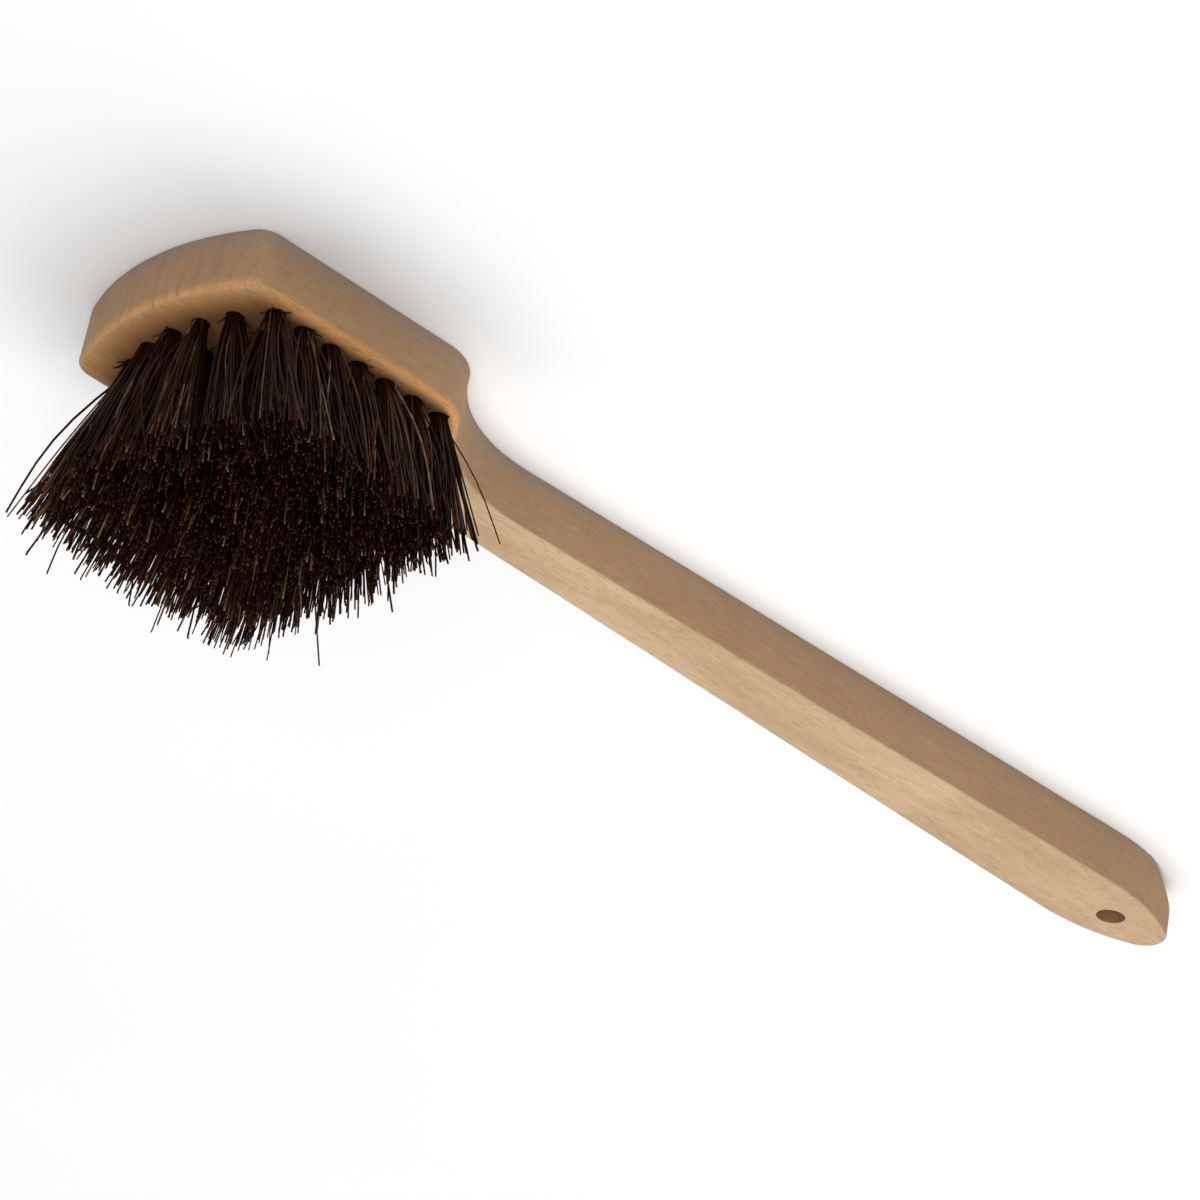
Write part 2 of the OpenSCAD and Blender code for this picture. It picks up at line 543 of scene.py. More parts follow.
    @staticmethod
    def _knots(made: Finish) -> bpy.types.NodeSocket:
        """Mask the few pin knots, small dark specks scattered through the wood.

        Args:
            made: The material.

        Returns:
            The mask.
        """
        pad = made.pad
        cells = pad.texture("Voronoi", pad.stretched(made.place, (0.6, 1.0, 1.0)), scale=46.0)
        near = pad.rescale(cells["Distance"], 0.085, 0.03)
        chosen = pad.math("GREATER_THAN", pad.split(cells["Color"])["X"], 0.62)
        return pad.times(near, chosen)


@dataclass(frozen=True)
class FibreFinish:
    """Stiff dark plant fibre: near black, with olive and red-brown strands and pale cut ends."""

    black: Colour = (0.0115, 0.0026, 0.0012)
    brown: Colour = (0.0320, 0.0090, 0.0035)
    olive: Colour = (0.2500, 0.1700, 0.0880)
    red: Colour = (0.1600, 0.0500, 0.0200)
    cut_end: Colour = (0.1050, 0.0290, 0.0150)
    gloss_tint: Colour = (1.0, 0.60, 0.36)
    smoothest: float = 0.26
    roughness_range: float = 0.30
    specular: float = 0.15

    def build(self, effects: dict[Effect, bpy.types.NodeTree]) -> bpy.types.Material:
        """Build the fibre.

        Args:
            effects: The shared node groups.

        Returns:
            The material. It reads the mesh attributes tone, hue and cut.
        """
        made = Finish("dark_fibre", effects)
        pad = made.pad
        tone, hue, cut = (made.attribute(name) for name in ("tone", "hue", "cut"))
        mottle, streaks = effects[Effect.MOTTLE], effects[Effect.STREAKS]
        patchy = pad.effect(mottle, vector=made.place, size=260.0, contrast=0.9).outputs[0]
        colour = pad.blend(pad.rescale(tone, 0.2, 0.8), self.black, self.brown)
        warm = pad.blend(pad.rescale(hue, 0.55, 0.75), self.olive, self.red)
        patchy = pad.plus(patchy, 0.3, clamp=True)
        lit = pad.times(pad.rescale(tone, 0.62, 0.90), patchy)
        colour = pad.blend(lit, colour, warm)
        ends = pad.times(cut, pad.rescale(hue, 0.45, 1.1))
        colour = pad.blend(ends, colour, self.cut_end)
        rough = pad.plus(self.smoothest, pad.times(hue, self.roughness_range))
        made.dress({"Base Color": colour, "Roughness": rough, "Specular IOR Level": self.specular})
        made.dress({"Specular Tint": (*self.gloss_tint, 1.0)})
        skin = pad.effect(streaks, vector=made.place, fineness=2600.0, drawn_out=1.0)
        made.bump(skin.outputs["Lines"], 0.03 * MM)
        return made.material


@dataclass(frozen=True)
class WireFinish:
    """Plain drawn steel wire with faint lines along it."""

    steel: Colour = (0.56, 0.55, 0.53)
    dull: Colour = (0.36, 0.34, 0.32)
    smoothest: float = 0.24
    roughness_range: float = 0.2

    def build(self, effects: dict[Effect, bpy.types.NodeTree]) -> bpy.types.Material:
        """Build the wire.

        Args:
            effects: The shared node groups.

        Returns:
            The material.
        """
        made = Finish("drawn_steel_wire", effects)
        pad = made.pad
        tarnish = pad.effect(effects[Effect.MOTTLE], vector=made.place, size=320.0).outputs[0]
        drawn = pad.effect(effects[Effect.STREAKS], vector=made.place, fineness=4200.0, drawn_out=6.0)
        colour = pad.blend(tarnish, self.steel, self.dull)
        rough = pad.times(drawn.outputs["Lines"], self.roughness_range)
        rough = pad.plus(self.smoothest, rough)
        made.dress({"Base Color": colour, "Roughness": rough, "Metallic": 1.0})
        made.bump(drawn.outputs["Lines"], 0.01 * MM)
        return made.material


@dataclass(frozen=True)
class FloorFinish:
    """A plain, pale, matt studio floor."""

    white: Colour = (0.90, 0.90, 0.90)
    off_white: Colour = (0.88, 0.88, 0.88)
    roughness: float = 0.9

    def build(self, effects: dict[Effect, bpy.types.NodeTree]) -> bpy.types.Material:
        """Build the floor.

        Args:
            effects: The shared node groups.

        Returns:
            The material.
        """
        made = Finish("studio_floor", effects)
        cloud = made.pad.effect(effects[Effect.MOTTLE], vector=made.place, size=1.5).outputs[0]
        colour = made.pad.blend(cloud, self.white, self.off_white)
        made.dress({"Base Color": colour, "Roughness": self.roughness})
        return made.material


# ---------------------------------------------------------------- mesh helpers


def make_piece(
    name: str,
    points: np.ndarray,
    faces: list[tuple[int, ...]],
    material: bpy.types.Material,
    attributes: dict[str, np.ndarray] | None = None,
) -> bpy.types.Object:
    """Make a mesh object in the shared frame.

    Args:
        name: The piece's name.
        points: Its vertices in the brush's plan, in millimetres.
        faces: Its faces, as vertex indices.
        material: Its material.
        attributes: Numbers to store on the vertices, by attribute name.

    Returns:
        The object, smooth shaded and linked to the scene.
    """
    mesh = bpy.data.meshes.new(name)
    mesh.from_pydata(to_frame(points).tolist(), [], faces)
    mesh.polygons.foreach_set("use_smooth", [True] * len(mesh.polygons))
    for label, values in (attributes or {}).items():
        layer = mesh.attributes.new(label, "FLOAT", "POINT")
        layer.data.foreach_set("value", np.asarray(values, dtype=np.float32))
    mesh.materials.append(material)
    mesh.update()
    piece = bpy.data.objects.new(name, mesh)
    bpy.context.scene.collection.objects.link(piece)
    return piece


def tube_faces(
    first: int, sides: int, rings: int, inward: bool = False
) -> list[tuple[int, ...]]:
    """Join the rings of a tube, whose points lie ring after ring.

    Args:
        first: The index of the tube's first point.
        sides: How many points each ring has.
        rings: How many rings there are.
        inward: Whether the wall is seen from inside the tube.

    Returns:
        The faces between the rings.
    """
    faces = []
    for level in range(rings - 1):
        low, high = first + level * sides, first + (level + 1) * sides
        for k in range(sides):
            n = (k + 1) % sides
            face = (low + k, low + n, high + n, high + k)
            faces.append((face[0], *face[:0:-1]) if inward else face)
    return faces


def arc(centre: Point2, radius: float, start: float, stop: float, step: float) -> np.ndarray:
    """Sample an arc.

    Args:
        centre: Its centre.
        radius: Its radius.
        start: The angle that it starts at, in radians.
        stop: The angle that it ends at.
        step: The longest distance between two points.

    Returns:
        Rows of x, y and the outward-facing normal's x, y, where outward means away from centre.
    """
    count = max(3, math.ceil(abs(stop - start) * radius / step) + 1)
    angle = np.linspace(start, stop, count)
    direction = np.stack([np.cos(angle), np.sin(angle)], axis=1)
    return np.hstack([np.array(centre) + radius * direction, direction])


# ---------------------------------------------------------------- the wooden block


@dataclass
class Block:
    """The wooden block: its plan, its eased edges, and the holes drilled in it."""

    length: float = 508.0
    thickness: float = 22.0
    head_width: float = 97.0
    front_radius: float = 112.0
    corner_radius: float = 8.0
    side_length: float = 91.0
    shoulder_radius: float = 20.0
    neck_radius: float = 60.0
    neck_width: float = 23.0
    flare: float = math.radians(1.45)
    end_side_radius: float = 80.0
    tip_radius: float = 10.0
    hang_from_tip: float = 27.0
    hang_diameter: float = 11.0
    back_easing: float = 0.7
    nose_start: float = 480.0
    nose_inset: float = 7.5
    nose_rise: float = 13.0
    handle_easing: float = 1.4
    head_easing: float = 2.0
    near_easing: float = 1.7
    neck_span: tuple[float, float] = (80.0, 125.0)
    worn_across: tuple[float, float] = (5.0, 46.0)
    worn_along: tuple[float, float] = (45.0, 92.0)
    wall_waver: float = 0.10
    easing_steps: int = 7
    wall_rings: int = 4
    rim: float = 0.35
    tuft_holes: list["TuftHole"] = field(default_factory=list)

    def half_plan(self) -> np.ndarray:
        """Trace the plan from the front of the head to the tip, on the side y >= 0.

        Returns:
            Rows of x, y and the outline's outward normal.
        """
        half, fine = self.head_width / 2, 1.0
        corner_y = half - self.corner_radius
        inner = self.front_radius - self.corner_radius
        corner_x = self.front_radius - math.sqrt(inner**2 - corner_y**2)
        turn = math.atan2(corner_y, corner_x - self.front_radius)
        neck_y = self.neck_width / 2 + self.neck_radius
        shoulder_y = half - self.shoulder_radius
        both = self.shoulder_radius + self.neck_radius
        neck_x = self.side_length + math.sqrt(both**2 - (neck_y - shoulder_y) ** 2)
        lean = math.atan2(neck_y - shoulder_y, neck_x - self.side_length)
        front = arc((self.front_radius, 0), self.front_radius, math.pi, turn, fine)
        corner = arc((corner_x, corner_y), self.corner_radius, turn, math.pi / 2, 0.5)
        shoulder = arc((self.side_length, shoulder_y), self.shoulder_radius, math.pi / 2, lean, fine)
        neck = arc((neck_x, neck_y), self.neck_radius, lean + math.pi, 1.5 * math.pi + self.flare, fine)
        neck[:, 2:] *= -1
        end = self._end_of_handle(neck[-1, :2])
        side = self._straight(corner[-1], shoulder[0], 2.0)
        edge = self._straight(neck[-1], end[0], 3.0)
        return np.vstack([front, corner[1:], side, shoulder, neck[1:], edge, end])

    def _end_of_handle(self, flare_start: np.ndarray) -> np.ndarray:
        """Trace the long curve and the tip that close the handle after its straight edge.

        Args:
            flare_start: The point where the straight edge begins.

        Returns:
            Rows of x, y and the outline's outward normal.
        """
        slope, tip_x = math.tan(self.flare), self.length - self.tip_radius
        edge_y = flare_start[1] + (tip_x - flare_start[0]) * slope
        drop = edge_y - self.end_side_radius / math.cos(self.flare)
        reach = self.end_side_radius - self.tip_radius
        a, b = 1 + slope**2, drop * slope
        back = (-b - math.sqrt(reach**2 * a - drop**2)) / a
        centre = (tip_x + back, drop + back * slope)
        meet = math.atan2(-centre[1], -back)
        side = arc(centre, self.end_side_radius, math.pi / 2 + self.flare, meet, 1.0)
        tip = arc((tip_x, 0.0), self.tip_radius, meet, 0.0, 0.5)
        return np.vstack([side, tip[1:]])

    @staticmethod
    def _straight(start: np.ndarray, end: np.ndarray, step: float) -> np.ndarray:
        """Sample the straight edge between two rows of the outline.

        Args:
            start: The row that it starts at.
            end: The row that it ends at.
            step: The longest distance between two points.

        Returns:
            The rows strictly between the two.
        """
        count = math.ceil(np.linalg.norm(end[:2] - start[:2]) / step)
        share = np.linspace(0, 1, count + 1)[1:-1, None]
        rows = start + (end - start) * share
        rows[:, 2:] = unit(rows[:, 2:])
        return rows

    def plan(self) -> np.ndarray:
        """Trace the whole closed plan, counter-clockwise from the tip.

        Returns:
            Rows of x, y and the outline's outward normal.
        """
        half = self.half_plan()
        mirrored = half[1:-1] * np.array([1, -1, 1, -1])
        return np.vstack([half[::-1], mirrored])

    def easing(self, plan: np.ndarray) -> np.ndarray:
        """Give the edge beside the bristles its rounding, softest at the head's near front corner.

        Args:
            plan: The outline's rows.

        Returns:
            The radius of the rounded edge at each row.
        """
        x, y = plan[:, 0], plan[:, 1]
        on_head = 1 - smoothstep(*self.neck_span, x)
        worn = smoothstep(*self.worn_across, y) * (1 - smoothstep(*self.worn_along, x))
        wander = np.array([noise.noise(Vector((a / 37.0, b / 37.0, 3.1))) for a, b in plan[:, :2]])
        size = self.handle_easing + (self.head_easing - self.handle_easing) * on_head
        return (size + self.near_easing * worn) * (1 + 0.16 * wander)

    def build(self, material: bpy.types.Material) -> bpy.types.Object:
        """Build the block with its holes.

        Args:
            material: The wood.

        Returns:
            The piece.
        """
        plan = self.plan()
        count = len(plan)
        ease = self.easing(plan)
        waver = np.array([noise.noise(Vector((a / 21.0, b / 9.0, 8.7))) for a, b in plan[:, :2]])
        rings = self._wall(plan, ease, waver * self.wall_waver)
        points = [np.vstack(rings)]
        faces = tube_faces(0, count, len(rings))
        total, sharp = count * len(rings), []
        outer = {"back": list(range(count)), "face": list(range(total - count, total))}
        holes = {"back": [], "face": []}
        for bored in self._bores():
            ring_points, ring_faces, mouths, creases = bored.tube(total)
            points.append(ring_points)
            faces += ring_faces
            sharp += creases
            total += len(ring_points)
            for side, loop in mouths.items():
                holes[side].append(loop)
        cloud = np.vstack(points)
        for side, facing in (("back", -1), ("face", 1)):
            faces += flat_with_holes(cloud, outer[side], holes[side], facing)
        piece = make_piece("block_hardwood", cloud, faces, material, {"hole_shade": self._shade_round_holes(cloud)})
        mark_sharp(piece.data, sharp)
        weigh = piece.modifiers.new("even_shading", "WEIGHTED_NORMAL")
        weigh.keep_sharp = True
        weigh.weight = 80
        return piece

    def _wall(self, plan: np.ndarray, ease: np.ndarray, waver: np.ndarray) -> list[np.ndarray]:
        """Stack the rings of points from the back face's edge up to the bristle face's edge.

        Args:
            plan: The outline's rows.
            ease: The radius of the edge beside the bristles at each row.
            waver: How far the wall stands out at each row.

        Returns:
            The rings, each with one point for each row.
        """
        xy, normal = plan[:, :2], plan[:, 2:]
        rings = []

        def ring(inset: np.ndarray | float, height: np.ndarray | float) -> None:
            """Add a ring.

            Args:
                inset: How far it lies inside the outline.
                height: How high it lies.
            """
            z = np.broadcast_to(height, (len(plan),))
            depth = np.broadcast_to(inset, (len(plan),)) - waver
            rings.append(np.column_stack([xy - normal * depth[:, None], z]))

        nose = smoothstep(self.nose_start, self.length - 2.0, xy[:, 0])
        inset = self.back_easing + (self.nose_inset - self.back_easing) * nose
        rise = self.back_easing + (self.nose_rise - self.back_easing) * nose
        for k in range(self.easing_steps + 1):
            turn = math.pi / 2 * k / self.easing_steps
            ring(inset * (1 - math.sin(turn)), rise * (1 - math.cos(turn)))
        top = self.thickness - ease
        for k in range(1, self.wall_rings + 1):
            ring(0.0, rise + (top - rise) * k / (self.wall_rings + 1))
        for k in range(self.easing_steps + 1):
            turn = math.pi / 2 * k / self.easing_steps
            ring(ease * (1 - math.cos(turn)), top + ease * math.sin(turn))
        return rings

    def _bores(self) -> list["Bore"]:
        """Return the hanging hole and the tuft holes."""
        x, radius = self.length - self.hang_from_tip, self.hang_diameter / 2
        return [HangingHole(x, radius, self.thickness, self.rim), *self.tuft_holes]

    def _shade_round_holes(self, cloud: np.ndarray) -> np.ndarray:
        """Measure how far painted shade darkens the wood in and round the tuft holes.

        Args:
            cloud: All points of the block.

        Returns:
            A share for each point, from 0 in the open to 1 inside a tuft hole.
        """
        # Painted shade: full inside each tuft hole, fading out just past its rim.
        hole_shade = np.zeros(len(cloud))
        for hole in self.tuft_holes:
            gap = np.linalg.norm(cloud[:, :2] - np.array([hole.x, hole.y]), axis=1)
            near = 1 - smoothstep(hole.radius * 0.9, hole.radius * 1.35, gap)
            hole_shade = np.maximum(hole_shade, near * (cloud[:, 2] > self.thickness - hole.depth * 1.2))
        return hole_shade


def flat_with_holes(
    cloud: np.ndarray, outer: list[int], holes: list[list[int]], facing: int
) -> list[tuple[int, ...]]:
    """Triangulate a flat face inside a loop and outside its holes.

    Args:
        cloud: All points.
        outer: The indices of the outer loop.
        holes: The indices of each hole's loop.
        facing: 1 for a face that looks up and -1 for one that looks down.

    Returns:
        Triangles, as indices into cloud.
    """
    chosen = outer + [i for loop in holes for i in loop]
    edges, start = [], 0
    for loop in [outer, *holes]:
        size = len(loop)
        edges += [(start + k, start + (k + 1) % size) for k in range(size)]
        start += size
    flat = [Vector(cloud[i, :2]) for i in chosen]
    verts, _, triangles, origin, _, _ = delaunay_2d_cdt(flat, edges, [], 1, 1e-6)
    back_to = [chosen[o[0]] for o in origin]
    rounds = [(cloud[loop, :2].mean(axis=0), cloud[loop, :2]) for loop in holes]
    kept = []
    for tri in triangles:
        middle = sum((np.array(verts[i]) for i in tri), np.zeros(2)) / 3
        if any(inside_loop(middle, centre, loop) for centre, loop in rounds):
            continue
        a, b, c = (back_to[i] for i in tri)
        turn = np.cross(cloud[b, :2] - cloud[a, :2], cloud[c, :2] - cloud[a, :2])
        kept.append((a, b, c) if turn * facing > 0 else (a, c, b))
    return kept


def inside_loop(point: np.ndarray, centre: np.ndarray, loop: np.ndarray) -> bool:
    """Tell whether a point is inside a small convex loop.

    Args:
        point: The point's x, y.
        centre: The loop's centre.
        loop: The loop's points, in order.

    Returns:
        Whether it is inside.
    """
    if np.linalg.norm(point - centre) > np.linalg.norm(loop - centre, axis=1).max():
        return False
    nxt = np.roll(loop, -1, axis=0)
    side = np.cross(nxt - loop, point - loop)
    return bool((side > 0).all() or (side < 0).all())


def mark_sharp(mesh: bpy.types.Mesh, creases: list[tuple[int, int]]) -> None:
    """Mark edges so that shading breaks there.

    Args:
        mesh: The mesh.
        creases: The edges, as pairs of vertex indices.
    """
    wanted = {tuple(sorted(pair)) for pair in creases}
    layer = mesh.attributes.new("sharp_edge", "BOOLEAN", "EDGE")
    layer.data.foreach_set("value", [tuple(sorted(e.vertices)) in wanted for e in mesh.edges])


def loop_edges(loop: list[int]) -> list[tuple[int, int]]:
    """Return the edges round a closed loop of indices."""
    return [(loop[k], loop[(k + 1) % len(loop)]) for k in range(len(loop))]


class Bore:
    """A hole in the block, which adds its own wall to the block's mesh."""

    def tube(self, first: int) -> tuple[np.ndarray, list, dict[str, list[int]], list]:
        """Build the wall.

        Args:
            first: The index that the wall's first point will have.

        Returns:
            The points, the faces, the loop at each mouth by face name, and the sharp edges.
        """
        raise NotImplementedError


@dataclass
class HangingHole(Bore):
    """The plain round hole through the handle, with lightly broken rims."""

    x: float
    radius: float
    thickness: float
    rim: float
    sides: int = 48

    def tube(self, first: int) -> tuple[np.ndarray, list, dict[str, list[int]], list]:
        """Build the wall, open at both faces.

        Args:
            first: The index that the wall's first point will have.

        Returns:
            The points, the faces, the loop at each mouth by face name, and the sharp edges.
        """
        t, r, c = self.thickness, self.radius, self.rim
        levels = [(r + c, 0.0), (r + c * 0.3, c * 0.3), (r, c), (r, t / 3), (r, 2 * t / 3),
                  (r, t - c), (r + c * 0.3, t - c * 0.3), (r + c, t)]
        angle = np.linspace(0, 2 * math.pi, self.sides, endpoint=False)
        rings = [
            np.column_stack([self.x + rr * np.cos(angle), rr * np.sin(angle), np.full(self.sides, z)])
            for rr, z in levels
        ]
        faces = tube_faces(first, self.sides, len(levels), inward=True)
        last = first + self.sides * (len(levels) - 1)
        starts = {"back": first, "face": last}
        mouths = {side: list(range(k, k + self.sides)) for side, k in starts.items()}
        return np.vstack(rings), faces, mouths, []


@dataclass
class TuftHole(Bore):
    """A blind hole drilled at a slant for one tuft."""

    row: int
    column: int
    x: float
    y: float
    top: float
    axis: np.ndarray
    radius: float
    depth: float
    sides: int = 28

    def basis(self) -> tuple[np.ndarray, np.ndarray]:
        """Return two directions square to the hole's axis and to each other."""
        u = unit(np.cross([0.0, 1.0, 0.0], self.axis))
        return u, np.cross(self.axis, u)

    def mouth(self) -> np.ndarray:
        """Return the centre of the hole's mouth."""
        return np.array([self.x, self.y, self.top])

    def tube(self, first: int) -> tuple[np.ndarray, list, dict[str, list[int]], list]:
        """Build the wall and the bottom.

        Args:
            first: The index that the wall's first point will have.

        Returns:
            The points, the faces, the loop at its mouth by face name, and the sharp edges.
        """
        u, v = self.basis()
        angle = np.linspace(0, 2 * math.pi, self.sides, endpoint=False)[:, None]
        circle = self.mouth() + self.radius * (np.cos(angle) * u + np.sin(angle) * v)
        lift = (self.top - circle[:, 2]) / self.axis[2]
        rim = circle + lift[:, None] * self.axis
        floor = circle - self.depth * self.axis
        rings = [floor, (floor + rim) / 2, rim]
        faces = tube_faces(first, self.sides, len(rings), inward=True)
        bottom = list(range(first, first + self.sides))
        faces.append(tuple(bottom))
        mouth = list(range(first + 2 * self.sides, first + 3 * self.sides))
        return np.vstack(rings), faces, {"face": mouth}, loop_edges(mouth) + loop_edges(bottom)


# ---------------------------------------------------------------- the bristles


class Strand(Enum):
    """The kinds of fibre in a tuft, each with its share of the tuft."""

    TRIMMED = 0.86
    SHORT = 0.09
    STRAY = 0.05


@dataclass
class BristleField:
    """The tufts: where their holes are, how they slant, and how their fibres spread."""

    rows: int = 7
    columns: int = 7
    pitch_y: float = 13.5
    first_row_x: float = 15.0
    row_bow: float = 1.5
    last_row_x: float = 98.0
    trim: float = 50.0
    hole_diameter: float = 6.4
    hole_depth: float = 14.0
    lean_front: float = 8.0
    lean_rear: float = 12.0
    lean_side: float = 20.0
    fibres: int = 86
    thickness: float = 0.78
    thickness_span: tuple[float, float] = (0.78, 1.18)
    tip_taper: float = 0.86
    flattest: float = 0.72
    root_jitter: float = 0.035
    wall_gap: float = 0.62
    rings: int = 9
    sides: int = 5
    fan_along: float = 7.0
    fan_across: float = 9.5
    fan_inside: float = 3.0
    fan_span: tuple[float, float] = (0.55, 1.15)
    unruly: float = 1.8
    widest: float = 14.5
    farthest_side: float = 77.5
    curl: float = 1.0
    kinked: float = 0.12
    near_splay: float = 0.5
    near_tuck: float = 8.3
    far_splay: float = 6.0
    upright_by: float = 0.02
    near_front_back: float = 0.09
    near_rear_forward: float = 0.08
    tuft_wander: float = 0.018
    stray_slant: float = 7.0
    short_by: tuple[float, float] = (3.0, 16.0)
    stray_by: tuple[float, float] = (0.5, 4.0)
    most_curl: float = 6.0
    kink_size: float = 3.2
    elbow_span: tuple[float, float] = (0.35, 0.8)
    cut_from: float = 0.985
    fold_lift: float = 3.0
    trim_waver: float = 1.9
    spurs: int = 7
    spur_rise: tuple[float, float] = (1.5, 5.5)
    spur_reach: tuple[float, float] = (0.6, 4.2)
    seed: int = 7

    def holes(self, block: Block) -> list[TuftHole]:
        """Lay out the tuft holes on the head.

        Args:
            block: The block that they are drilled in.

        Returns:
            The holes, row by row from the front.
        """
        found = []
        for i in range(self.rows):
            for j in range(self.columns):
                y = (j - (self.columns - 1) / 2) * self.pitch_y
                along = i / (self.rows - 1)
                bow = block.front_radius - math.sqrt(block.front_radius**2 - y**2)
                front = self.first_row_x + self.row_bow * bow
                x = front + (self.last_row_x - front) * along
                lean_x = math.radians(-self.lean_front + (self.lean_front + self.lean_rear) * along)
                lean_y = math.radians(self.lean_side * (2 * j / (self.columns - 1) - 1))
                level = math.cos(lean_y)
                axis = np.array([math.sin(lean_x) * level, math.sin(lean_y), math.cos(lean_x) * level])
                size, deep = self.hole_diameter / 2, self.hole_depth
                found.append(TuftHole(i + 1, j + 1, x, y, block.thickness, axis, size, deep))
        return found

    def build_tuft(self, hole: TuftHole, material: bpy.types.Material) -> bpy.types.Object:
        """Build the fibres of one tuft.

        Args:
            hole: The hole that holds it.
            material: The fibre's material.

        Returns:
            The piece, with one closed strip of mesh for each fibre.
        """
        rng = np.random.default_rng(self.seed + 100 * hole.row + hole.column)
        roots, drift = self._roots(hole, rng)
        paths = self._paths(hole, roots, drift, rng)
        width = self.thickness * rng.uniform(*self.thickness_span, len(paths))
        paths, width = self._with_spurs(hole, paths, width, rng)
        points, faces = self._strips(paths, width, rng)
        size = self.rings * self.sides
        tone = np.repeat(rng.beta(1.3, 2.1, len(paths)), size)
        hue = np.repeat(rng.uniform(0, 1, len(paths)), size)
        cut = np.tile(np.repeat([0.0] * (self.rings - 1) + [1.0], self.sides), len(paths))
        name = f"fibres_{hole.row}_{hole.column}"
        return make_piece(name, points, faces, material, {"tone": tone, "hue": hue, "cut": cut})

    def _roots(self, hole: TuftHole, rng: np.random.Generator) -> tuple[np.ndarray, np.ndarray]:
        """Pack the fibres' roots in the hole.

        Args:
            hole: The hole.
            rng: The tuft's own random numbers.

        Returns:
            Each root's place at the mouth, and its sideways place, of length 0 at the middle
            and 1 at the wall.
        """
        order = np.arange(self.fibres) + 0.5
        golden = math.pi * (3 - math.sqrt(5))
        reach = np.sqrt(order / self.fibres)
        angle = order * golden + rng.uniform(0, 2 * math.pi)
        u, v = hole.basis()
        sideways = reach[:, None] * (np.cos(angle)[:, None] * u + np.sin(angle)[:, None] * v)
        sideways += rng.normal(0, self.root_jitter, sideways.shape)
        room = hole.radius - self.thickness * self.wall_gap
        return hole.mouth() + sideways * room, sideways

    def _paths(
        self, hole: TuftHole, roots: np.ndarray, drift: np.ndarray, rng: np.random.Generator
    ) -> np.ndarray:
        """Run each fibre from the bottom of its hole to its trimmed tip.

        Args:
            hole: The hole.
            roots: Where each fibre leaves the hole.
            drift: Each root's sideways place in the hole.
            rng: The tuft's own random numbers.

        Returns:
            Points, as an array of fibre, ring and coordinate.
        """
        count = len(roots)
        kind = rng.choice([s.name for s in Strand], count, p=[s.value for s in Strand])
        short, stray = kind == Strand.SHORT.name, kind == Strand.STRAY.name
        heading = hole.axis + self._slopes(hole, drift, stray, rng)
        curl = rng.normal(0, 1.0, (count, 3)) * rng.gamma(1.3, self.curl, (count, 1))
        curl *= np.minimum(1.0, self.most_curl / np.linalg.norm(curl, axis=1, keepdims=True))
        height = self.trim + rng.normal(0, self.trim_waver, count)
        height += stray * rng.uniform(*self.stray_by, count)
        height -= short * rng.uniform(*self.short_by, count)

        # A path rises evenly while it runs sideways to where its heading takes it.
        share = np.append(np.linspace(0, 1, self.rings - 2)[:-1], [self.cut_from, 1.0])
        reach = share[None, :, None]
        level = height / heading[:, 2]
        aimed = heading[:, :2] * level[:, None]
        aimed[:, 1] = np.clip(aimed[:, 1], *(np.array([-1, 1]) * self.farthest_side - hole.y))
        straight = hole.axis[:2] / hole.axis[2] * height[:, None]
        run = straight[:, None, :] * reach
        run = run + (aimed - straight)[:, None, :] * self._eased(hole, reach)
        bow = np.sin(math.pi * reach) * curl[:, None, :2] + reach**3 * curl[:, None, 1::-1] * 0.8
        bow += self._kinks(reach, count, rng)
        rise = height[:, None, None] * reach
        path = roots[:, None, :] + np.concatenate([run + bow, rise], axis=2)
        path[:, :, 1] = np.clip(path[:, :, 1], -self.farthest_side, self.farthest_side)
        below = roots - hole.axis * (hole.depth - self.fold_lift) - 0.15 * drift
        return np.concatenate([below[:, None, :], path], axis=1)

    def _inside(self, hole: TuftHole) -> tuple[float, float]:
        """Return how far inside the field a hole is along and across it, from 0 to 1."""
        along = 1 - abs(2 * (hole.row - 1) / (self.rows - 1) - 1)
        return along, 1 - abs(2 * (hole.column - 1) / (self.columns - 1) - 1)

    def _slopes(
        self, hole: TuftHole, drift: np.ndarray, stray: np.ndarray, rng: np.random.Generator
    ) -> np.ndarray:
        """Spread the headings of a tuft's fibres.

        Args:
            hole: The tuft's hole.
            drift: Each root's sideways place in the hole.
            stray: Which fibres are strays.
            rng: The tuft's own random numbers.

        Returns:
            How far each fibre slants from the hole's axis, as slopes along x, y and z.
        """
        inner_row, inner_column = self._inside(hole)
        along = self.fan_along + self.fan_inside * inner_row
        across = self.fan_across + self.fan_inside * inner_column
        fan = np.tan(np.radians([along, across, along]))
        spread = drift * fan * rng.uniform(*self.fan_span, (len(drift), 1))
        spread += rng.normal(0, math.tan(math.radians(self.unruly)), (len(drift), 3))
        slant = math.tan(math.radians(self.stray_slant))
        spread[stray] += rng.normal(0, slant, (int(stray.sum()), 3))
        spread += self._settled_lean(hole) + rng.normal(0, self.tuft_wander, 3)
        away = np.linalg.norm(spread, axis=1, keepdims=True)
        return spread * np.minimum(1.0, math.tan(math.radians(self.widest)) / away)

    def _eased(self, hole: TuftHole, reach: np.ndarray) -> np.ndarray:
        """Shape a tuft's spread, which arches outwards unless its neighbours hold it upright.

        Args:
            hole: The tuft's hole.
            reach: The share of its height that each point is at.

        Returns:
            The share of its spread that each point has.
        """
        inner_row, inner_column = self._inside(hole)
        held = inner_row * inner_column
        arched = (1 - held) * reach**2 * (1.5 - 0.5 * reach) + held * reach * (2 - reach)
        arching = 0.3 + 0.4 * held
        return (1 - arching) * reach + arching * arched

